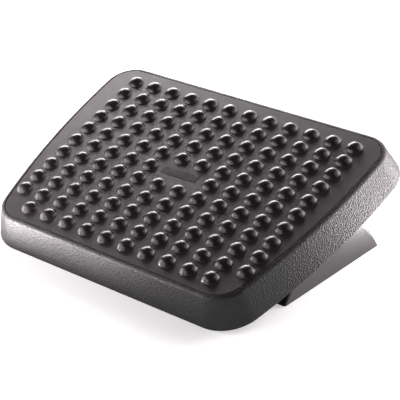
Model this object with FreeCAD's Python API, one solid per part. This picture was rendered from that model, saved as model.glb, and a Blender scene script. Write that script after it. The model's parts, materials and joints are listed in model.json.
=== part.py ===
import FreeCAD, Part
import math
import os

# Tilting footrest: a bump-topped platform that rocks on a low leg with two pivot pins.
# The platform's pieces are drawn level, in the deck frame (u right, v rearward, n up from the
# deck face), and are then tipped to the rest tilt. The leg is drawn upright on the floor.
# X is right, Y is rearward, Z is up; the origin is under the middle of the whole, on the floor.

os.makedirs("parts", exist_ok=True)

# Driving dimensions, in millimetres and degrees

# Platform outline at the deck's edge
DECK_HALF_WIDTH = 207.7     # at the widest place
WIDEST_BEHIND = 106.9       # the widest place lies this far behind the deck's middle
SIDE_BOW_R = 925.0          # the sides are shallow outward bows
DECK_REAR = 146.6           # deck's middle to its straight rear edge
DECK_FRONT = 146.2          # deck's middle to its straight front edge
REAR_CORNER_R = 31.6
FRONT_CORNER_R = 32.8

# Platform shell
SKIRT_HEIGHT = 38.8
SKIRT_DRAFT = 19.3          # the skirt leans outward by this angle
SHOULDER_R = 5.2
RIM_FLAT = 0.3
SHELL_WALL = 3.0
SHELL_PANEL = 3.0
RIB_THICK = 2.0
RIB_HEIGHT = 8.0
RIB_COLUMNS = (-4, -2, 0, 2, 4)         # lengthwise ribs, in bump pitches from the middle
RIB_ROWS = (-4.5, -2.5, -0.5, 0.5, 2.5, 4.5)
RIB_TO_FLANGE = 8.0         # crosswise ribs end this far short of the brackets' flanges
RIB_TO_EDGE = 22.2          # lengthwise ribs end this far short of the deck's edges
BOTTOM_EDGE_R = 1.2

# Tread plate with its bumps
TREAD_THICK = 2.6
TREAD_EDGE_R = 0.6
GROOVE = 1.1                # open groove between tread plate and shell
BUMP_COLUMNS = 12
BUMP_ROWS = 11
BUMP_SIDE_MARGIN = 37.585   # outer bumps' middles to the deck's widest edge
BUMP_FRONT_MARGIN = 22.25
BUMP_REAR_MARGIN = 22.65
BUMP_R = 10.6
BUMP_HEIGHT = 5.8
TREAD_BOSS_R = 3.4
BOSS_HOLE_GAP = 0.3
TREAD_BOSS_SHORT = 0.4      # boss ends this far above the panel's underside

# Bare label plate in the gap in the middle row
LABEL_LENGTH = 52.5
LABEL_WIDTH = 11.5
LABEL_THICK = 0.7
LABEL_RECESS = 0.5
LABEL_GAP = 0.15
LABEL_CORNER_R = 0.8

# Rest pose and the leg's place
REST_TILT = 20.4
LEG_MIDDLE_BEHIND = 53.0    # leg's middle lies this far behind the deck's middle, level
PIVOT_DEPTH = 32.0          # pivot axis below the deck face

# Leg
LEG_LENGTH = 196.9          # front to rear along the floor
FLANK_R = 155.6
FLANK_FOOT_TURN = 32.62     # arc from its centre's level down to the leg's foot, seen from the side
CHEEK_SET_IN = 16.7         # deck's widest edge to a cheek's outer face
CHEEK_THICK = 4.0
CHEEK_EDGE_R = 3.0          # round between a cheek and the leg's front and rear walls
LEG_WALL = 3.0
WALL_TOP = 45.0
EAR_R = 11.0
GUSSET_THICK = 3.0
MID_RIB_TOP = 32.0
LEG_LIFT = 0.5              # the pads hold the leg this far off the floor

# Leg's feet
FOOT_RIM = 2.8              # foot block's wall around its pad
FOOT_BLOCK_HEIGHT = 5.0
FOOT_BLOCK_INSET = 4.0
FOOT_TO_CHEEK = 3.0
PAD_R = 9.0
PAD_THICK = 2.5
PAD_GAP = 0.2

# Pivot pins, washers and clips
PIN_R = 4.0
PIN_HEAD_R = 7.0
PIN_HEAD_THICK = 2.5
PIN_HEAD_EDGE_R = 1.0
PIN_SEAT_GAP = 0.05
PIN_RUNNING_GAP = 0.05
PIN_TAIL = 5.0              # pin's length past the gusset
CLIP_THICK = 1.2
CLIP_R = 6.6
CLIP_GROOVE_DEPTH = 0.8
CLIP_GAP = 0.1
CLIP_MOUTH_SHARE = 0.85     # the clip's mouth against its bore
WASHER_R = 7.5
WASHER_THICK = 3.95
WASHER_END_GAP = 0.15

# Pivot blocks, that turn on the pins and slide in the brackets
BLOCK_WIDTH = 12.0
BLOCK_DEPTH = 20.0
BLOCK_ABOVE = 11.0          # block's reach above the pivot axis
BLOCK_CHAMFER = 1.0
BLOCK_SIDE_GAP = 0.25
BLOCK_GUIDE_GAP = 0.5
NIB_R = 1.5
NIB_PROUD = 0.35
NOTCH_R = 2.2
NOTCH_DEPTH = 0.9
PEG_R = 3.0
PEG_COVER = 1.5             # block's wall under its peg
PEG_BELOW = 13.0            # stop peg's axis below the pivot axis
PEG_PAST = 1.5              # peg's length past the gusset
PEG_GAP = 0.3

# Working allowances
OVERLAP = 0.5               # joined features reach this far into each other
CUT_PAST = 1.0              # cuts run this far past the faces they open
SCREW_TIP_GAP = 0.5
SAME_LEVEL = 0.01           # edges this close to a level count as on it

# Travel
TILT_TRAVEL = 30.0
HEIGHT_STEP = 12.0
HEIGHT_STEPS = 2

# Brackets under the deck
BRACKET_WALL = 2.5
BRACKET_SLOT_GAP = 0.4
FLANGE_U = 40.0
FLANGE_V = 62.0
FLANGE_THICK = 3.0
FLANGE_CORNER_R = 5.0
BRACKET_BOSS_R = 4.0
BRACKET_BOSS_HEIGHT = 6.0
BRACKET_SCREW_U = 14.0
BRACKET_SCREW_V = 25.0

# Screws
SCREW_GAP = 0.05
BRACKET_SCREW_R = 1.5
BRACKET_SCREW_BITE = 7.0
TREAD_SCREW_R = 1.25
TREAD_SCREW_BITE = 5.5
CHEEK_SCREW_R = 1.5
CHEEK_SCREW_BITE = 7.0
SCREW_HEAD_RATIO = 2.4      # head radius over shank radius
SCREW_HEAD_THICK = 2.0
SCREW_HEAD_EDGE_R = 0.8
RECESS_ARM_RATIO = 1.1      # cross recess arm over shank radius
RECESS_WIDTH = 0.8
RECESS_DEPTH = 1.0

# Cheek bosses and the frame's lugs that they are screwed to
CHEEK_BOSS_R = 4.5
CHEEK_BOSS_LENGTH = 6.0
LUG_R = 8.0
LUG_THICK = 3.0
LUG_INSIDE_WALL = 7.0
LUG_HEIGHTS = (14.0, 35.0)

# Sizes that follow from them

tilt = math.radians(REST_TILT)
draft = math.radians(SKIRT_DRAFT)
skirt_top_offset = RIM_FLAT + SHOULDER_R * math.tan(math.pi / 4 - draft / 2)
skirt_flare = skirt_top_offset + SKIRT_HEIGHT * math.tan(draft)
panel_top = -TREAD_THICK
panel_bottom = panel_top - SHELL_PANEL

# The rounded bottom edge of the skirt touches the floor in front and reaches furthest at the rear
round_in = BOTTOM_EDGE_R / math.tan(math.pi / 4 - draft / 2)
round_n = BOTTOM_EDGE_R - SKIRT_HEIGHT
front_round_v = round_in - DECK_FRONT - skirt_flare
rear_round_v = DECK_REAR + skirt_flare - round_in
deck_level = BOTTOM_EDGE_R - front_round_v * math.sin(tilt) - round_n * math.cos(tilt)
rear_reach = BOTTOM_EDGE_R + rear_round_v * math.cos(tilt) - round_n * math.sin(tilt)
low_front_reach = BOTTOM_EDGE_R - front_round_v * math.cos(tilt) + round_n * math.sin(tilt)
high_front_reach = (DECK_FRONT + RIM_FLAT) * math.cos(tilt) + SHOULDER_R * (1 - math.sin(tilt))
deck_back = (max(low_front_reach, high_front_reach) - rear_reach) / 2

bump_pitch_u = 2 * (DECK_HALF_WIDTH - BUMP_SIDE_MARGIN) / (BUMP_COLUMNS - 1)
bump_field = DECK_FRONT - BUMP_FRONT_MARGIN + DECK_REAR - BUMP_REAR_MARGIN
bump_pitch_v = bump_field / (BUMP_ROWS - 1)
bump_middle_v = (DECK_REAR - BUMP_REAR_MARGIN - DECK_FRONT + BUMP_FRONT_MARGIN) / 2

pivot_v = (LEG_MIDDLE_BEHIND - PIVOT_DEPTH * math.sin(tilt)) / math.cos(tilt)
pivot_n = -PIVOT_DEPTH
pivot_y = LEG_MIDDLE_BEHIND + deck_back
pivot_z = deck_level + pivot_v * math.sin(tilt) + pivot_n * math.cos(tilt)

# Each flank's arc centre lies past the leg's middle, and below the floor
flank_foot = math.radians(FLANK_FOOT_TURN)
flank_centre_past = FLANK_R * math.cos(flank_foot) - LEG_LENGTH / 2
flank_centre_z = LEG_LIFT - FLANK_R * math.sin(flank_foot)

# Across the width, from a cheek inward: washer, bracket with its block, washer, gusset
bracket_half_u = BLOCK_WIDTH / 2 + BLOCK_SIDE_GAP + BRACKET_WALL
bracket_half_v = BLOCK_DEPTH / 2 + BLOCK_GUIDE_GAP + BRACKET_WALL
washer_bay = WASHER_THICK + 2 * WASHER_END_GAP
cheek_outside = DECK_HALF_WIDTH - CHEEK_SET_IN
cheek_inside = cheek_outside - CHEEK_THICK
block_middle = cheek_inside - washer_bay - bracket_half_u
gusset_outside = block_middle - bracket_half_u - washer_bay
gusset_inside = gusset_outside - GUSSET_THICK
foot_half = PAD_R + PAD_GAP + FOOT_RIM
foot_side = cheek_inside - FOOT_TO_CHEEK - foot_half
rib_half_u = block_middle - FLANGE_U / 2 - RIB_TO_FLANGE
flange_top = panel_bottom - BRACKET_BOSS_HEIGHT
flange_bottom = flange_top - FLANGE_THICK
height_travel = HEIGHT_STEP * HEIGHT_STEPS
block_below = PEG_BELOW + PEG_R + PEG_COVER
bracket_bottom = pivot_n - BLOCK_ABOVE - height_travel

SIDES = ((-1, "left"), (1, "right"))
AXIS_X = FreeCAD.Vector(1, 0, 0)
AXIS_Y = FreeCAD.Vector(0, 1, 0)
AXIS_Z = FreeCAD.Vector(0, 0, 1)


# Helpers

def vec(x, y, z):
    return FreeCAD.Vector(x, y, z)


def box(x0, x1, y0, y1, z0, z1):
    return Part.makeBox(x1 - x0, y1 - y0, z1 - z0, vec(x0, y0, z0))


def rod_x(x0, x1, y, z, radius):
    return Part.makeCylinder(radius, abs(x1 - x0), vec(min(x0, x1), y, z), AXIS_X)


def rod_z(x, y, z0, z1, radius):
    return Part.makeCylinder(radius, z1 - z0, vec(x, y, z0), AXIS_Z)


def fuse_all(shapes):
    joined = shapes[0].multiFuse(shapes[1:])
    return joined.removeSplitter()


def tipped(shape):
    """Takes a shape from the deck frame to its place at rest."""
    placed = shape.copy()
    placed.rotate(vec(0, 0, 0), AXIS_X, REST_TILT)
    placed.translate(vec(0, deck_back, deck_level))
    return placed


def export(shape, node):
    shape.exportStep("parts/" + node + ".step")
    print(node, len(shape.Solids), "solids", round(shape.Volume / 1000, 2), "cm3", shape.isValid())


# Platform outline, offset outward from the deck's edge, at one level

def outline(offset, n):
    bow = vec(DECK_HALF_WIDTH - SIDE_BOW_R, WIDEST_BEHIND, n)

    def corner_centre(radius, v):
        reach = math.sqrt((SIDE_BOW_R - radius)**2 - (v - bow.y)**2)
        return vec(bow.x + reach, v, n)

    front = corner_centre(FRONT_CORNER_R, FRONT_CORNER_R - DECK_FRONT)
    rear = corner_centre(REAR_CORNER_R, DECK_REAR - REAR_CORNER_R)
    front_turn = math.atan2(front.y - bow.y, front.x - bow.x)
    rear_turn = math.atan2(rear.y - bow.y, rear.x - bow.x)

    def arc(centre, radius, start, end, side):
        points = []
        for angle in (start, (start + end) / 2, end):
            u = centre.x + radius * math.cos(angle)
            points.append(vec(side * u, centre.y + radius * math.sin(angle), n))
        return Part.Arc(*points).toShape()

    right = [
        arc(front, FRONT_CORNER_R + offset, -math.pi / 2, front_turn, 1),
        arc(bow, SIDE_BOW_R + offset, front_turn, rear_turn, 1),
        arc(rear, REAR_CORNER_R + offset, rear_turn, math.pi / 2, 1),
    ]
    left = [
        arc(rear, REAR_CORNER_R + offset, math.pi / 2, rear_turn, -1),
        arc(bow, SIDE_BOW_R + offset, rear_turn, front_turn, -1),
        arc(front, FRONT_CORNER_R + offset, front_turn, -math.pi / 2, -1),
    ]
    v_rear = DECK_REAR + offset
    v_front = -DECK_FRONT - offset
    rear_line = Part.makeLine(vec(rear.x, v_rear, n), vec(-rear.x, v_rear, n))
    front_line = Part.makeLine(vec(-front.x, v_front, n), vec(front.x, v_front, n))
    return Part.Wire(right + [rear_line] + left + [front_line])


def drafted_block(top_offset, top_n, bottom_n):
    """Closed block whose sides lean outward with the skirt's draft."""
    bottom_offset = top_offset + (top_n - bottom_n) * math.tan(draft)
    wires = [outline(bottom_offset, bottom_n), outline(top_offset, top_n)]
    return Part.makeLoft(wires, True, True)


def level_prism(offset, n0, n1):
    return Part.Face(outline(offset, n0)).extrude(vec(0, 0, n1 - n0))


def edges_at(shape, n):
    level = []
    for edge in shape.Edges:
        if abs(edge.BoundBox.ZMin - n) < SAME_LEVEL and abs(edge.BoundBox.ZMax - n) < SAME_LEVEL:
            level.append(edge)
    return level


def edges_across(shape, x):
    across = []
    for edge in shape.Edges:
        if abs(edge.BoundBox.XMin - x) < SAME_LEVEL and abs(edge.BoundBox.XMax - x) < SAME_LEVEL:
            across.append(edge)
    return across


# Places of the repeated features

def bump_place(column, row):
    u = (column - (BUMP_COLUMNS - 1) / 2) * bump_pitch_u
    v = bump_middle_v + (row - (BUMP_ROWS - 1) / 2) * bump_pitch_v
    return u, v


def bump_places():
    places = []
    for row in range(BUMP_ROWS):
        for column in range(BUMP_COLUMNS):
            front_corner = row == 0 and column in (0, BUMP_COLUMNS - 1)
            label_gap = row == BUMP_ROWS // 2 and column in (BUMP_COLUMNS // 2 - 1, BUMP_COLUMNS // 2)
            if front_corner or label_gap:
                continue
            places.append(bump_place(column, row))
    return places


def tread_screw_places():
    """Under bumps, on three rows and four columns, clear of ribs and brackets."""
    places = []
    for row in (1, 5, 9):
        for column in (0, 3, 8, 11):
            places.append(bump_place(column, row))
    return places


def bracket_screw_places(side):
    places = []
    for du in (-BRACKET_SCREW_U, BRACKET_SCREW_U):
        for dv in (-BRACKET_SCREW_V, BRACKET_SCREW_V):
            places.append((side * block_middle + du, pivot_v + dv))
    return places


def lug_places():
    """Y, Z of the cheek screws, a set distance inside the front and rear walls."""
    places = []
    radius = FLANK_R - LEG_WALL - LUG_INSIDE_WALL
    for flank in (-1, 1):
        for height in LUG_HEIGHTS:
            rise = height - flank_centre_z
            reach = math.sqrt(radius**2 - rise**2) - flank_centre_past
            places.append((pivot_y + flank * reach, height))
    return places


def foot_places():
    places = []
    reach = LEG_LENGTH / 2 - FOOT_BLOCK_INSET - foot_half
    for side in (-1, 1):
        for flank in (-1, 1):
            places.append((side * foot_side, pivot_y + flank * reach))
    return places


# Screw along n with its head down, its tip up; the origin is under the head

def screw(radius, length):
    head_r = radius * SCREW_HEAD_RATIO
    head = Part.makeCylinder(head_r, SCREW_HEAD_THICK, vec(0, 0, -SCREW_HEAD_THICK))
    head = head.makeFillet(SCREW_HEAD_EDGE_R, edges_at(head, -SCREW_HEAD_THICK))
    shank = Part.makeCylinder(radius, length)
    body = head.fuse(shank)
    arm = radius * RECESS_ARM_RATIO
    half = RECESS_WIDTH / 2
    floor = RECESS_DEPTH - SCREW_HEAD_THICK
    for half_u, half_v in ((arm, half), (half, arm)):
        body = body.cut(box(-half_u, half_u, -half_v, half_v, -SCREW_HEAD_THICK - CUT_PAST, floor))
    return body


def screws_up(places, seat_n, radius, length):
    one = screw(radius, length)
    group = []
    for u, v in places:
        copy = one.copy()
        copy.translate(vec(u, v, seat_n))
        group.append(copy)
    return group


# Platform pieces, in the deck frame

def make_platform_shell():
    body = drafted_block(skirt_top_offset, 0.0, -SKIRT_HEIGHT)
    body = body.makeFillet(SHOULDER_R, edges_at(body, 0.0))
    body = body.makeFillet(BOTTOM_EDGE_R, edges_at(body, -SKIRT_HEIGHT))
    inner_step = SHELL_WALL / math.cos(draft)
    inner_top = skirt_top_offset - panel_bottom * math.tan(draft) - inner_step
    hollow = drafted_block(inner_top, panel_bottom, -SKIRT_HEIGHT - CUT_PAST)
    body = body.cut(hollow)
    body = body.cut(level_prism(0.0, panel_top, CUT_PAST))
    adds = []
    rib_bottom = panel_bottom - RIB_HEIGHT
    half_t = RIB_THICK / 2
    rib_front = RIB_TO_EDGE - DECK_FRONT
    rib_rear = DECK_REAR - RIB_TO_EDGE
    for column in RIB_COLUMNS:
        u = column * bump_pitch_u
        adds.append(box(u - half_t, u + half_t, rib_front, rib_rear, rib_bottom, panel_top))
    for row in RIB_ROWS:
        v = bump_middle_v + row * bump_pitch_v
        adds.append(box(-rib_half_u, rib_half_u, v - half_t, v + half_t, rib_bottom, panel_top))
    for side, name in SIDES:
        for u, v in bracket_screw_places(side):
            adds.append(rod_z(u, v, flange_top, panel_top, BRACKET_BOSS_R))
    body = fuse_all([body] + adds)
    cuts = []
    for side, name in SIDES:
        for u, v in bracket_screw_places(side):
            top = flange_top + BRACKET_SCREW_BITE + SCREW_TIP_GAP
            cuts.append(rod_z(u, v, flange_top - CUT_PAST, top, BRACKET_SCREW_R + SCREW_GAP))
    for u, v in tread_screw_places():
        hole_r = TREAD_BOSS_R + BOSS_HOLE_GAP
        cuts.append(rod_z(u, v, panel_bottom - CUT_PAST, panel_top + CUT_PAST, hole_r))
    return body.cut(Part.makeCompound(cuts))


def make_tread_plate():
    plate = level_prism(-GROOVE, panel_top, 0.0)
    plate = plate.makeFillet(TREAD_EDGE_R, edges_at(plate, 0.0))
    sphere_r = (BUMP_R**2 + BUMP_HEIGHT**2) / (2 * BUMP_HEIGHT)
    centre_n = BUMP_HEIGHT - sphere_r
    low_latitude = math.degrees(math.asin((-OVERLAP - centre_n) / sphere_r))
    cap = Part.makeSphere(sphere_r, vec(0, 0, 0), AXIS_Z, low_latitude, 90.0, 360.0)
    adds = []
    for u, v in bump_places():
        bump = cap.copy()
        bump.translate(vec(u, v, centre_n))
        adds.append(bump)
    boss_bottom = panel_bottom + TREAD_BOSS_SHORT
    for u, v in tread_screw_places():
        adds.append(rod_z(u, v, boss_bottom, panel_top + OVERLAP, TREAD_BOSS_R))
    plate = plate.multiFuse(adds)
    half_u = LABEL_LENGTH / 2 + LABEL_GAP
    half_v = LABEL_WIDTH / 2 + LABEL_GAP
    middle = bump_middle_v
    cuts = [box(-half_u, half_u, middle - half_v, middle + half_v, -LABEL_RECESS, CUT_PAST)]
    for u, v in tread_screw_places():
        top = panel_bottom + TREAD_SCREW_BITE + SCREW_TIP_GAP
        cuts.append(rod_z(u, v, boss_bottom - CUT_PAST, top, TREAD_SCREW_R + SCREW_GAP))
    return plate.cut(Part.makeCompound(cuts))


def make_label_plate():
    half_u = LABEL_LENGTH / 2
    half_v = LABEL_WIDTH / 2
    middle = bump_middle_v
    top = LABEL_THICK - LABEL_RECESS
    plate = box(-half_u, half_u, middle - half_v, middle + half_v, -LABEL_RECESS, top)
    uprights = [e for e in plate.Edges if e.BoundBox.ZLength > LABEL_THICK / 2]
    return plate.makeFillet(LABEL_CORNER_R, uprights)


def make_bracket(side):
    u = side * block_middle
    v = pivot_v
    flange = box(u - FLANGE_U / 2, u + FLANGE_U / 2, v - FLANGE_V / 2, v + FLANGE_V / 2,
                 flange_bottom, flange_top)
    corners = [e for e in flange.Edges if e.BoundBox.ZLength > FLANGE_THICK / 2]
    flange = flange.makeFillet(FLANGE_CORNER_R, corners)
    tower = box(u - bracket_half_u, u + bracket_half_u, v - bracket_half_v, v + bracket_half_v,
                bracket_bottom, flange_bottom)
    body = fuse_all([flange, tower])
    guide_u = BLOCK_WIDTH / 2 + BLOCK_SIDE_GAP
    guide_v = BLOCK_DEPTH / 2 + BLOCK_GUIDE_GAP
    mouth = bracket_bottom - CUT_PAST
    channel = box(u - guide_u, u + guide_u, v - guide_v, v + guide_v, mouth, flange_bottom)
    slot_r = PIN_R + BRACKET_SLOT_GAP
    u0 = u - bracket_half_u - CUT_PAST
    u1 = u + bracket_half_u + CUT_PAST
    slot = box(u0, u1, v - slot_r, v + slot_r, mouth, pivot_n)
    cuts = [channel, slot, rod_x(u0, u1, v, pivot_n, slot_r)]
    for step in range(HEIGHT_STEPS + 1):
        n = pivot_n - step * HEIGHT_STEP
        for flank in (-1, 1):
            notch_v = v + flank * (guide_v + NOTCH_DEPTH - NOTCH_R)
            cuts.append(rod_x(u - guide_u, u + guide_u, notch_v, n, NOTCH_R))
    for screw_u, screw_v in bracket_screw_places(side):
        hole_r = BRACKET_SCREW_R + SCREW_GAP
        cuts.append(rod_z(screw_u, screw_v, flange_bottom - CUT_PAST, flange_top + CUT_PAST, hole_r))
    for cut in cuts:
        body = body.cut(cut)
    return body


def make_pivot_block(side):
    u = side * block_middle
    v = pivot_v
    half_u = BLOCK_WIDTH / 2
    half_v = BLOCK_DEPTH / 2
    body = box(u - half_u, u + half_u, v - half_v, v + half_v, pivot_n - block_below, pivot_n + BLOCK_ABOVE)
    body = body.makeChamfer(BLOCK_CHAMFER, [e for e in body.Edges if e.BoundBox.XLength > half_u])
    adds = [body]
    for flank in (-1, 1):
        nib_v = v + flank * (half_v + NIB_PROUD - NIB_R)
        adds.append(rod_x(u - half_u, u + half_u, nib_v, pivot_n, NIB_R))
    peg_n = pivot_n - PEG_BELOW
    peg_end = side * (gusset_inside - PEG_PAST)
    adds.append(rod_x(peg_end, u, v, peg_n, PEG_R))
    body = fuse_all(adds)
    bore_r = PIN_R + PIN_RUNNING_GAP
    return body.cut(rod_x(u - half_u - CUT_PAST, u + half_u + CUT_PAST, v, pivot_n, bore_r))


# Leg pieces, upright on the floor

def flank_arc(radius, flank, z0, z1):
    """Arc of a flank, from height z0 to z1, as three Y, Z points about the leg's middle."""
    points = []
    centre_y = -flank * flank_centre_past
    a0 = math.asin((z0 - flank_centre_z) / radius)
    a1 = math.asin((z1 - flank_centre_z) / radius)
    for angle in (a0, (a0 + a1) / 2, a1):
        y = centre_y + flank * radius * math.cos(angle)
        points.append((pivot_y + y, flank_centre_z + radius * math.sin(angle)))
    return points


def leg_profile(inset, x0, x1):
    """Plate in the leg's side outline: two bowed flanks that rise to a round ear at the pivot."""
    radius = FLANK_R - inset
    apart = math.hypot(flank_centre_past, pivot_z - flank_centre_z)
    lean = math.atan2(flank_centre_past, pivot_z - flank_centre_z)
    turn = lean + math.acos((radius - EAR_R) / apart)
    flat_z = flank_centre_z + radius * math.cos(turn)
    ear_y = EAR_R * math.sin(turn)
    ear_z = pivot_z + EAR_R * math.cos(turn)
    front = flank_arc(radius, -1, LEG_LIFT, flat_z)
    rear = flank_arc(radius, 1, LEG_LIFT, flat_z)

    def at(point):
        return vec(x0, point[0], point[1])

    edges = [
        Part.Arc(at(front[0]), at(front[1]), at(front[2])).toShape(),
        Part.makeLine(at(front[2]), vec(x0, pivot_y - ear_y, ear_z)),
        Part.Arc(vec(x0, pivot_y - ear_y, ear_z), vec(x0, pivot_y, pivot_z + EAR_R),
                 vec(x0, pivot_y + ear_y, ear_z)).toShape(),
        Part.makeLine(vec(x0, pivot_y + ear_y, ear_z), at(rear[2])),
        Part.Arc(at(rear[2]), at(rear[1]), at(rear[0])).toShape(),
        Part.makeLine(at(rear[0]), at(front[0])),
    ]
    return Part.Face(Part.Wire(edges)).extrude(vec(x1 - x0, 0, 0))


def flank_wall(flank):
    outer = flank_arc(FLANK_R, flank, LEG_LIFT, WALL_TOP)
    inner = flank_arc(FLANK_R - LEG_WALL, flank, LEG_LIFT, WALL_TOP)
    x0 = -cheek_inside

    def at(point):
        return vec(x0, point[0], point[1])

    edges = [
        Part.Arc(at(outer[0]), at(outer[1]), at(outer[2])).toShape(),
        Part.makeLine(at(outer[2]), at(inner[2])),
        Part.Arc(at(inner[2]), at(inner[1]), at(inner[0])).toShape(),
        Part.makeLine(at(inner[0]), at(outer[0])),
    ]
    return Part.Face(Part.Wire(edges)).extrude(vec(2 * cheek_inside, 0, 0))


def stop_slot(x0, x1):
    """Curved slot that the block's stop peg swings in, about the pivot axis."""
    peg_turn = math.radians(REST_TILT - 90.0)
    travel = math.radians(TILT_TRAVEL)
    clear_r = PEG_R + PEG_GAP
    ring = rod_x(x0, x1, 0, 0, PEG_BELOW + clear_r)
    ring = ring.cut(rod_x(x0 - CUT_PAST, x1 + CUT_PAST, 0, 0, PEG_BELOW - clear_r))
    far = 2 * PEG_BELOW
    corners = [vec(x0, 0, 0)]
    for turn in (peg_turn, peg_turn - travel):
        corners.append(vec(x0, far * math.cos(turn), far * math.sin(turn)))
    wedge = Part.Face(Part.makePolygon(corners + [corners[0]])).extrude(vec(x1 - x0, 0, 0))
    slot = ring.common(wedge)
    for turn in (peg_turn, peg_turn - travel):
        end = rod_x(x0, x1, PEG_BELOW * math.cos(turn), PEG_BELOW * math.sin(turn), clear_r)
        slot = slot.fuse(end)
    slot.translate(vec(0, pivot_y, pivot_z))
    return slot


def make_leg_frame():
    adds = [flank_wall(-1), flank_wall(1)]
    half_wall = LEG_WALL / 2
    for side, name in SIDES:
        x0 = min(side * gusset_inside, side * gusset_outside)
        adds.append(leg_profile(half_wall, x0, x0 + GUSSET_THICK))
        lug_out = side * (cheek_inside - CHEEK_BOSS_LENGTH)
        for y, z in lug_places():
            adds.append(rod_x(lug_out - side * LUG_THICK, lug_out, y, z, LUG_R))
    low_part = box(-LEG_WALL, LEG_WALL, pivot_y - LEG_LENGTH, pivot_y + LEG_LENGTH, LEG_LIFT, MID_RIB_TOP)
    adds.append(leg_profile(half_wall, -half_wall, half_wall).common(low_part))
    for x, y in foot_places():
        adds.append(box(x - foot_half, x + foot_half, y - foot_half, y + foot_half,
                        LEG_LIFT, LEG_LIFT + FOOT_BLOCK_HEIGHT))
    body = fuse_all(adds)
    cuts = []
    for side, name in SIDES:
        x0 = side * (gusset_inside - CUT_PAST)
        x1 = side * (gusset_outside + CUT_PAST)
        cuts.append(rod_x(x0, x1, pivot_y, pivot_z, PIN_R + PIN_SEAT_GAP))
        cuts.append(stop_slot(min(x0, x1), max(x0, x1)))
        lug_out = side * (cheek_inside - CHEEK_BOSS_LENGTH)
        lug_in = lug_out - side * LUG_THICK
        for y, z in lug_places():
            hole_r = CHEEK_SCREW_R + SCREW_GAP
            cuts.append(rod_x(lug_in - side * CUT_PAST, lug_out + side * CUT_PAST, y, z, hole_r))
    for x, y in foot_places():
        cuts.append(rod_z(x, y, LEG_LIFT - CUT_PAST, PAD_THICK, PAD_R + PAD_GAP))
    for cut in cuts:
        body = body.cut(cut)
    return body


def make_cheek(side):
    x0 = min(side * cheek_inside, side * cheek_outside)
    plate = leg_profile(0.0, x0, x0 + CHEEK_THICK)
    outer = side * cheek_outside
    rim = [e for e in edges_across(plate, outer) if e.BoundBox.ZLength > SAME_LEVEL]
    plate = plate.makeFillet(CHEEK_EDGE_R, rim)
    adds = [plate]
    inner = side * cheek_inside
    for y, z in lug_places():
        adds.append(rod_x(inner - side * CHEEK_BOSS_LENGTH, inner + side * OVERLAP, y, z, CHEEK_BOSS_R))
    body = fuse_all(adds)
    hole_r = PIN_R + PIN_SEAT_GAP
    body = body.cut(rod_x(x0 - CUT_PAST, x0 + CHEEK_THICK + CUT_PAST, pivot_y, pivot_z, hole_r))
    for y, z in lug_places():
        start = inner - side * (CHEEK_BOSS_LENGTH + CUT_PAST)
        end = inner - side * (CHEEK_BOSS_LENGTH - CHEEK_SCREW_BITE - SCREW_TIP_GAP)
        body = body.cut(rod_x(start, end, y, z, CHEEK_SCREW_R + SCREW_GAP))
    return body


def make_cheek_screws():
    one = screw(CHEEK_SCREW_R, LUG_THICK + CHEEK_SCREW_BITE)
    group = []
    for side, name in SIDES:
        seat = side * (cheek_inside - CHEEK_BOSS_LENGTH - LUG_THICK)
        for y, z in lug_places():
            copy = one.copy()
            copy.rotate(vec(0, 0, 0), AXIS_Y, side * 90.0)
            copy.translate(vec(seat, y, z))
            group.append(copy)
    return Part.makeCompound(group)


def make_pivot_pin(side):
    head_out = side * (cheek_outside + PIN_HEAD_THICK)
    end = side * (gusset_inside - PIN_TAIL)
    shank = rod_x(end, side * cheek_outside, pivot_y, pivot_z, PIN_R)
    head = rod_x(side * cheek_outside, head_out, pivot_y, pivot_z, PIN_HEAD_R)
    head = head.makeFillet(PIN_HEAD_EDGE_R, edges_across(head, head_out))
    body = fuse_all([shank, head])
    groove_out = side * (gusset_inside - CLIP_GAP)
    groove_in = groove_out - side * (CLIP_THICK + CLIP_GAP)
    core_r = PIN_R - CLIP_GROOVE_DEPTH
    ring = rod_x(groove_in, groove_out, pivot_y, pivot_z, PIN_R + CUT_PAST)
    core = rod_x(groove_in - side * CUT_PAST, groove_out + side * CUT_PAST, pivot_y, pivot_z, core_r)
    return body.cut(ring.cut(core))


def make_pin_clips():
    """E-shaped retaining clips: rings open on one side, one in each pin's groove."""
    group = []
    for side, name in SIDES:
        x1 = side * (gusset_inside - CLIP_GAP * 1.5)
        x0 = x1 - side * CLIP_THICK
        bore_r = PIN_R - CLIP_GROOVE_DEPTH + CLIP_GAP
        ring = rod_x(x0, x1, pivot_y, pivot_z, CLIP_R)
        ring = ring.cut(rod_x(x0 - side * CUT_PAST, x1 + side * CUT_PAST, pivot_y, pivot_z, bore_r))
        half_mouth = bore_r * CLIP_MOUTH_SHARE
        mouth = box(min(x0, x1) - CUT_PAST, max(x0, x1) + CUT_PAST, pivot_y - half_mouth,
                    pivot_y + half_mouth, pivot_z, pivot_z + CLIP_R + CUT_PAST)
        group.append(ring.cut(mouth))
    return Part.makeCompound(group)


def make_spacer_washers():
    bracket_out = block_middle + bracket_half_u
    bracket_in = block_middle - bracket_half_u
    gaps = ((bracket_out, cheek_inside), (gusset_outside, bracket_in))
    group = []
    for side, name in SIDES:
        for near, far in gaps:
            x0 = side * ((near + far - WASHER_THICK) / 2)
            x1 = side * ((near + far + WASHER_THICK) / 2)
            ring = rod_x(x0, x1, pivot_y, pivot_z, WASHER_R)
            bore = rod_x(x0 - side * CUT_PAST, x1 + side * CUT_PAST, pivot_y, pivot_z, PIN_R + PIN_SEAT_GAP)
            group.append(ring.cut(bore))
    return Part.makeCompound(group)


def make_foot_pads():
    return Part.makeCompound([rod_z(x, y, 0.0, PAD_THICK, PAD_R) for x, y in foot_places()])


# Build and write every piece

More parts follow.
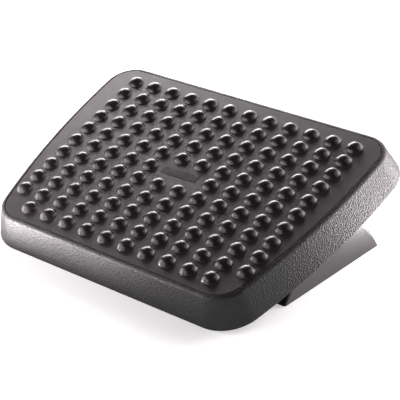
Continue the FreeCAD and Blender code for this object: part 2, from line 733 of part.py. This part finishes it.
export(tipped(make_platform_shell()), "platform_shell")
export(tipped(make_tread_plate()), "tread_plate")
export(tipped(make_label_plate()), "label_plate")
tread_screws = screws_up(tread_screw_places(), panel_bottom, TREAD_SCREW_R, TREAD_SCREW_BITE)
export(tipped(Part.makeCompound(tread_screws)), "tread_screws")
for side, name in SIDES:
    bracket_screws = screws_up(bracket_screw_places(side), flange_bottom, BRACKET_SCREW_R,
                               FLANGE_THICK + BRACKET_SCREW_BITE)
    export(tipped(make_bracket(side)), "pivot_bracket_" + name)
    export(tipped(Part.makeCompound(bracket_screws)), "bracket_screws_" + name)
    export(tipped(make_pivot_block(side)), "pivot_block_" + name)
    export(make_cheek(side), "leg_cheek_" + name)
    export(make_pivot_pin(side), "pivot_pin_" + name)
export(make_leg_frame(), "leg_frame")
export(make_cheek_screws(), "cheek_screws")
export(make_pin_clips(), "pin_clips")
export(make_spacer_washers(), "spacer_washers")
export(make_foot_pads(), "foot_pads")

print("pivot axis at Y", round(pivot_y, 3), "Z", round(pivot_z, 3))
print("deck middle at Y", round(deck_back, 3), "Z", round(deck_level, 3))
print("skirt flare", round(skirt_flare, 2), "feet", [(round(x, 2), round(y, 2)) for x, y in foot_places()])
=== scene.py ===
import json
import math

import bpy
from mathutils import Matrix, Vector

# A tilting footrest of black moulded plastic on a plain pale floor, under soft studio lamps.
# Lengths are in metres, and the scales of noises and cells are in features per metre.

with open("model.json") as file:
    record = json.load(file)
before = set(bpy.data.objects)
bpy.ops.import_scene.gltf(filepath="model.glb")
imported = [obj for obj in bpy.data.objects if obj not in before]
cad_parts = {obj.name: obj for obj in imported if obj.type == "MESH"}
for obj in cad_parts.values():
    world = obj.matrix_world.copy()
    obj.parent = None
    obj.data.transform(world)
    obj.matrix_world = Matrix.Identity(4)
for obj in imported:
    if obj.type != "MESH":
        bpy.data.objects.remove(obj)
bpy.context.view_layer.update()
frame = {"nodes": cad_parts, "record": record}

REST_TILT = math.radians(20.4)
DECK_MIDDLE = (0.0, -0.01295, 0.09294)                          # a point on the deck's face
DECK_NORMAL = (0.0, -math.sin(REST_TILT), math.cos(REST_TILT))
WHITE = (1.0, 1.0, 1.0, 1.0)


# Node-tree helpers

def start_material(name):
    material = bpy.data.materials.new(name)
    material.use_nodes = True
    tree = material.node_tree
    tree.nodes.clear()
    output = tree.nodes.new("ShaderNodeOutputMaterial")
    shader = tree.nodes.new("ShaderNodeBsdfPrincipled")
    tree.links.new(shader.outputs["BSDF"], output.inputs["Surface"])
    return material, tree, shader


def set_input(tree, socket, value):
    """Links another node's output, and leaves a number or vector on the input itself."""
    if isinstance(value, bpy.types.NodeSocket):
        tree.links.new(value, socket)
    else:
        socket.default_value = value


def add(tree, kind, inputs=None, **settings):
    node = tree.nodes.new("ShaderNode" + kind)
    for name, value in settings.items():
        setattr(node, name, value)
    for name, value in (inputs or {}).items():
        set_input(tree, node.inputs[name], value)
    return node


def vector_math(tree, operation, first, second):
    return add(tree, "VectorMath", {0: first, 1: second}, operation=operation).outputs["Vector"]


def vector_length(tree, vector):
    return add(tree, "VectorMath", {0: vector}, operation="LENGTH").outputs["Value"]


def number_math(tree, operation, first, second):
    return add(tree, "Math", {0: first, 1: second}, operation=operation).outputs["Value"]


def object_coordinates(tree):
    return add(tree, "TexCoord").outputs["Object"]


def stretched(tree, where, scales):
    return add(tree, "Mapping", {"Vector": where, "Scale": scales}).outputs["Vector"]


def noise(tree, where, scale, detail=3.0):
    inputs = {"Vector": where, "Scale": scale, "Detail": detail, "Roughness": 0.55}
    return add(tree, "TexNoise", inputs).outputs["Fac"]


def cells(tree, where, scale, smoothness):
    """The distance from the nearest cell's middle: lowest there, and highest along the soft seams."""
    inputs = {"Vector": where, "Scale": scale, "Smoothness": smoothness}
    return add(tree, "TexVoronoi", inputs, feature="SMOOTH_F1").outputs["Distance"]


def warped(tree, where, scale, amount):
    """Coordinates pushed about by a soft noise, so that no pattern repeats."""
    push = add(tree, "TexNoise", {"Vector": where, "Scale": scale, "Detail": 2.0}).outputs["Color"]
    centred = vector_math(tree, "SUBTRACT", push, (0.5, 0.5, 0.5))
    scaled = add(tree, "VectorMath", {0: centred, "Scale": amount}, operation="SCALE")
    return vector_math(tree, "ADD", where, scaled.outputs["Vector"])


def spread(tree, value, low, high, from_low=0.3, from_high=0.7):
    """Maps from_low to low and from_high to high, and stays between those two."""
    inputs = {"Value": value, "From Min": from_low, "From Max": from_high, "To Min": low, "To Max": high}
    return add(tree, "MapRange", inputs).outputs["Result"]


def two_colours(tree, value, dark, light):
    ramp = add(tree, "ValToRGB", {"Fac": value})
    ends = ramp.color_ramp.elements
    ends[0].position, ends[0].color = 0.35, (*dark, 1.0)
    ends[1].position, ends[1].color = 0.65, (*light, 1.0)
    return ramp.outputs["Color"]


def mixed(tree, factor, first, second, kind="FLOAT"):
    """A blend of two values. The Mix node has sockets of its own for each kind of value."""
    node = add(tree, "Mix", {0: factor}, data_type=kind)
    first_input, second_input, result = {"FLOAT": (2, 3, 0), "RGBA": (6, 7, 2)}[kind]
    set_input(tree, node.inputs[first_input], first)
    set_input(tree, node.inputs[second_input], second)
    return node.outputs[result]


def bump(tree, height, distance, under=None):
    inputs = {"Height": height, "Distance": distance, "Strength": 1.0}
    if under is not None:
        inputs["Normal"] = under
    return add(tree, "Bump", inputs).outputs["Normal"]


def finish_shader(tree, shader, colour, roughness, normal, specular=0.5):
    tree.links.new(colour, shader.inputs["Base Color"])
    tree.links.new(roughness, shader.inputs["Roughness"])
    tree.links.new(normal, shader.inputs["Normal"])
    shader.inputs["Specular IOR Level"].default_value = specular


# Materials

SHELL_GRAIN = 560.0              # cells about 2 mm across
TREAD_GRAIN = 1300.0
BUMP_RISES = (0.0002, 0.0007)    # heights over the deck between which its finish becomes the bumps' own
LEVEL_GRAIN = 0.3                # the grain's height on the bumps, which have none


def shell_plastic():
    """Black moulding with a coarse grain."""
    material, tree, shader = start_material("shell_plastic")
    where = object_coordinates(tree)
    grain = cells(tree, warped(tree, where, scale=260.0, amount=0.0008), SHELL_GRAIN, smoothness=0.45)
    fine = noise(tree, where, scale=2600.0)
    cloud = noise(tree, where, scale=18.0)
    colour = two_colours(tree, cloud, (0.0035, 0.0033, 0.0034), (0.0060, 0.0057, 0.0059))
    roughness = spread(tree, noise(tree, where, scale=240.0), low=0.46, high=0.57)
    normal = bump(tree, fine, distance=0.00004, under=bump(tree, grain, distance=0.0005))
    finish_shader(tree, shader, colour, roughness, normal, specular=0.42)
    return material


def tread_plastic():
    """Charcoal plate with a satin grain; the bumps that rise from its face are smoother."""
    material, tree, shader = start_material("tread_plastic")
    where = object_coordinates(tree)
    along = vector_math(tree, "SUBTRACT", where, DECK_MIDDLE)
    rise = add(tree, "VectorMath", {0: along, 1: DECK_NORMAL}, operation="DOT_PRODUCT").outputs["Value"]
    on_bump = spread(tree, rise, 0.0, 1.0, *BUMP_RISES)
    cloud = noise(tree, where, scale=26.0)
    deck_colour = two_colours(tree, cloud, (0.0120, 0.0088, 0.0095), (0.0170, 0.0130, 0.0137))
    bump_colour = two_colours(tree, cloud, (0.0112, 0.0090, 0.0095), (0.0152, 0.0125, 0.0130))
    colour = mixed(tree, on_bump, deck_colour, bump_colour, "RGBA")
    deck_roughness = spread(tree, noise(tree, where, scale=300.0), low=0.33, high=0.42)
    bump_roughness = spread(tree, noise(tree, where, scale=180.0), low=0.24, high=0.30)
    roughness = mixed(tree, on_bump, deck_roughness, bump_roughness)
    grain = cells(tree, warped(tree, where, scale=500.0, amount=0.0006), TREAD_GRAIN, smoothness=0.6)
    grain = mixed(tree, on_bump, grain, LEVEL_GRAIN)
    fine = noise(tree, where, scale=900.0)
    normal = bump(tree, fine, distance=0.00002, under=bump(tree, grain, distance=0.00012))
    finish_shader(tree, shader, colour, roughness, normal)
    return material


def satin_plastic(name, dark, light, smoothest, roughest):
    """Smooth moulded plastic with a faint grain and faint flow marks."""
    material, tree, shader = start_material(name)
    where = object_coordinates(tree)
    flow = noise(tree, stretched(tree, where, (30.0, 30.0, 6.0)), scale=1.0)
    colour = two_colours(tree, flow, dark, light)
    roughness = spread(tree, noise(tree, where, scale=150.0), smoothest, roughest)
    normal = bump(tree, noise(tree, where, scale=1800.0), distance=0.00002)
    finish_shader(tree, shader, colour, roughness, normal)
    return material


def metal(name, dark, light, smoothest, roughest, scratches):
    """Plated steel with fine turned or drawn scratches."""
    material, tree, shader = start_material(name)
    where = object_coordinates(tree)
    lines = noise(tree, stretched(tree, where, scratches), scale=1.0, detail=4.0)
    colour = two_colours(tree, noise(tree, where, scale=220.0), dark, light)
    roughness = spread(tree, lines, smoothest, roughest)
    normal = bump(tree, lines, distance=0.00001)
    finish_shader(tree, shader, colour, roughness, normal)
    shader.inputs["Metallic"].default_value = 1.0
    return material


def rubber(name, dark, light, smoothest, roughest):
    material, tree, shader = start_material(name)
    where = object_coordinates(tree)
    colour = two_colours(tree, noise(tree, where, scale=120.0), dark, light)
    roughness = spread(tree, noise(tree, where, scale=500.0), smoothest, roughest)
    normal = bump(tree, noise(tree, where, scale=1400.0), distance=0.00008)
    finish_shader(tree, shader, colour, roughness, normal, specular=0.3)
    return material


# Each row: material slot, darker and lighter colour, lowest and highest roughness

SATIN_PLASTICS = [
    ("label_plastic", (0.006, 0.006, 0.006), (0.010, 0.010, 0.010), 0.28, 0.38),
    ("bracket_plastic", (0.018, 0.018, 0.019), (0.030, 0.030, 0.031), 0.45, 0.6),
    ("block_nylon", (0.42, 0.40, 0.34), (0.52, 0.50, 0.43), 0.4, 0.55),
    ("leg_plastic", (0.010, 0.010, 0.010), (0.018, 0.017, 0.017), 0.5, 0.65),
    ("cheek_plastic", (0.014, 0.013, 0.013), (0.020, 0.0185, 0.0185), 0.30, 0.38),
    ("washer_nylon", (0.55, 0.53, 0.47), (0.66, 0.64, 0.57), 0.4, 0.55),
]

# Each row: the same, and the scratches' scales along X, Y and Z

METALS = [
    ("pin_steel", (0.50, 0.50, 0.49), (0.62, 0.62, 0.61), 0.22, 0.38, (2400.0, 160.0, 160.0)),
    ("clip_steel", (0.10, 0.10, 0.10), (0.17, 0.17, 0.17), 0.35, 0.5, (900.0, 900.0, 900.0)),
    ("screw_steel", (0.46, 0.46, 0.44), (0.60, 0.60, 0.57), 0.28, 0.45, (900.0, 900.0, 2400.0)),
]

materials = {"shell_plastic": shell_plastic(), "tread_plastic": tread_plastic()}
for name, *look in SATIN_PLASTICS:
    materials[name] = satin_plastic(name, *look)
for name, *look in METALS:
    materials[name] = metal(name, *look)
materials["pad_rubber"] = rubber("pad_rubber", (0.045, 0.045, 0.045), (0.075, 0.075, 0.075), 0.72, 0.88)

slots = {part["node"]: part["material_slot"] for part in frame["record"]["subparts"]}
for node, piece in frame["nodes"].items():
    piece.data.materials.clear()
    piece.data.materials.append(materials[slots[node]])


# Floor

FLOOR_GLOW = 0.42                # near the middle, where the lamps light the floor as well
GLOW_RISES = (0.7, 2.0)          # distances from the middle between which it rises to 1
LEG_MIDDLE = (0.0, 0.04, 0.0)
LEG_SHAPE = (1.0, 2.0, 1.0)      # the leg is about twice as wide as it is long from front to rear
LEG_PAINTED_SHADE = (0.15, 0.195)        # painted shade under the leg: the floor has no glow inside the leg, and all of it outside
FLOOR_Z = -0.0002                # just below the feet
FLOOR_SIDES = 64

# The floor's distances from the middle, and its height there: it is flat, and its edge curves up
# into a low wall, so that low views have a pale backdrop

FLOOR_PROFILE = [(6.8, 0.0), (7.5, 0.12), (7.9, 0.5), (8.0, 1.7)]


def floor_glow(tree, where):
    """For what looks at the floor or mirrors it, and never as light on the object."""
    path = add(tree, "LightPath")
    seen = path.outputs["Is Camera Ray"]
    for name in ("Is Glossy Ray", "Is Transmission Ray"):
        seen = number_math(tree, "MAXIMUM", seen, path.outputs[name])
    level = spread(tree, vector_length(tree, where), FLOOR_GLOW, 1.0, *GLOW_RISES)
    # The glow is taken away inside the leg and comes back over a short band about it, which paints a
    # shade on the floor under the leg.
    from_leg = vector_math(tree, "SUBTRACT", where, LEG_MIDDLE)
    from_leg = vector_math(tree, "MULTIPLY", from_leg, LEG_SHAPE)
    outside = spread(tree, vector_length(tree, from_leg), 0.0, 1.0, *LEG_PAINTED_SHADE)
    return number_math(tree, "MULTIPLY", seen, number_math(tree, "MULTIPLY", level, outside))


def floor_material():
    material, tree, shader = start_material("floor_white")
    where = object_coordinates(tree)
    colour = two_colours(tree, noise(tree, where, scale=3.0), (0.80, 0.80, 0.80), (0.84, 0.84, 0.84))
    tree.links.new(colour, shader.inputs["Base Color"])
    shader.inputs["Roughness"].default_value = 0.9
    shader.inputs["Specular IOR Level"].default_value = 0.0
    shader.inputs["Emission Color"].default_value = WHITE
    tree.links.new(floor_glow(tree, where), shader.inputs["Emission Strength"])
    return material


def floor_shape():
    """A fan of triangles about the middle, and a ring of faces for each step of the profile."""
    points, faces = [(0.0, 0.0, FLOOR_Z)], []
    for radius, height in FLOOR_PROFILE:
        for side in range(FLOOR_SIDES):
            turn = 2 * math.pi * side / FLOOR_SIDES
            points.append((radius * math.cos(turn), radius * math.sin(turn), FLOOR_Z + height))
    for side in range(FLOOR_SIDES):
        after = (side + 1) % FLOOR_SIDES
        faces.append((0, 1 + side, 1 + after))
        for ring in range(len(FLOOR_PROFILE) - 1):
            inner, outer = 1 + ring * FLOOR_SIDES, 1 + (ring + 1) * FLOOR_SIDES
            faces.append((inner + side, outer + side, outer + after, inner + after))
    return points, faces


floor_points, floor_faces = floor_shape()
floor_mesh = bpy.data.meshes.new("floor")
floor_mesh.from_pydata(floor_points, [], floor_faces)
floor = bpy.data.objects.new("floor", floor_mesh)
bpy.context.scene.collection.objects.link(floor)
floor.data.materials.append(floor_material())


# Lamps

AIM = Vector((0.0, 0.0, 0.06))   # every softbox points here
LAMP_COLOUR = (1.04, 0.97, 1.0)
PANEL_Z = 0.001
DOWN = Vector((0.0, 0.0, -1.0))
ROOM_LEVEL = 0.04

# Each row: name, azimuth from +X towards +Y and elevation in degrees, distance, width, height, watts

SOFTBOXES = [
    ("rear_left", 140.0, 28.0, 1.3, 1.0, 0.4, 16.5),
    ("rear_left_low", 140.0, 10.0, 1.3, 1.1, 0.3, 4.5),
    ("rear", 110.0, 28.0, 1.3, 1.0, 0.4, 5.6),
    ("rear_right", 62.0, 28.0, 1.0, 0.6, 0.5, 4.0),
    ("right", 40.0, 28.0, 1.0, 0.6, 0.5, 3.0),
    ("right_high", 25.0, 48.0, 0.9, 0.7, 0.5, 1.4),
    ("right_near", 46.0, 5.0, 0.7, 0.26, 0.15, 4.5),
    ("front", 258.0, 22.0, 1.0, 0.6, 0.5, 2.6),
    ("front_left", 225.0, 22.0, 0.6, 0.4, 0.3, 1.3),
    ("left", 197.0, 6.0, 0.9, 0.5, 0.3, 0.9),
    ("left_near", 210.0, 6.0, 0.45, 0.25, 0.12, 0.4),
]

# Small panels that lie on the floor and shine upward. Each row: name, X, Y, width, depth, watts

FLOOR_PANELS = [
    ("panel_left", -0.36, -0.27, 0.16, 0.10, 2.5),
    ("panel_front", -0.24, -0.27, 0.14, 0.10, 6.5),
    ("panel_middle", -0.10, -0.27, 0.14, 0.10, 1.5),
    ("panel_right", 0.33, 0.24, 0.16, 0.16, 3.3),
]


def area_lamp(name, place, back, width, height, watts):
    """A lamp that no camera sees. It shines away from the direction that its back faces."""
    data = bpy.data.lights.new(name, "AREA")
    data.shape = "RECTANGLE"
    data.size, data.size_y = width, height
    data.energy = watts
    data.color = LAMP_COLOUR
    lamp = bpy.data.objects.new(name, data)
    lamp.location = place
    lamp.rotation_mode = "QUATERNION"
    lamp.rotation_quaternion = back.to_track_quat("Z", "Y")
    lamp.visible_camera = False
    bpy.context.scene.collection.objects.link(lamp)


for name, azimuth, elevation, distance, width, height, watts in SOFTBOXES:
    turn, lift = math.radians(azimuth), math.radians(elevation)
    outward = Vector((math.cos(turn) * math.cos(lift), math.sin(turn) * math.cos(lift), math.sin(lift)))
    area_lamp(name, AIM + outward * distance, outward, width, height, watts)
for name, x, y, width, depth, watts in FLOOR_PANELS:
    area_lamp(name, (x, y, PANEL_Z), DOWN, width, depth, watts)

world = bpy.data.worlds.new("studio")
bpy.context.scene.world = world
world.use_nodes = True
room = world.node_tree.nodes["Background"]
room.inputs["Color"].default_value = WHITE
room.inputs["Strength"].default_value = ROOM_LEVEL


# Camera, fitted to the grid of bumps

SENSOR_WIDTH = 36.0              # millimetres, as the lens is
LENS = 122.83
CAMERA_PLACE = Vector((0.9465, -1.1621, 0.7679))
CAMERA_RIGHT = (0.78014, 0.62557, 0.00709)
CAMERA_UP = (-0.27389, 0.33134, 0.90288)
CAMERA_BACK = (0.56247, -0.70631, 0.42983)

camera_data = bpy.data.cameras.new("camera")
camera_data.sensor_width = SENSOR_WIDTH
camera_data.lens = LENS
camera_data.clip_start, camera_data.clip_end = 0.05, 30.0
camera = bpy.data.objects.new("camera", camera_data)
bpy.context.scene.collection.objects.link(camera)
camera_turn = Matrix((CAMERA_RIGHT, CAMERA_UP, CAMERA_BACK)).transposed().to_quaternion()
camera.matrix_world = Matrix.LocRotScale(CAMERA_PLACE, camera_turn, None)
bpy.context.scene.camera = camera
bpy.context.scene.view_settings.view_transform = "Standard"
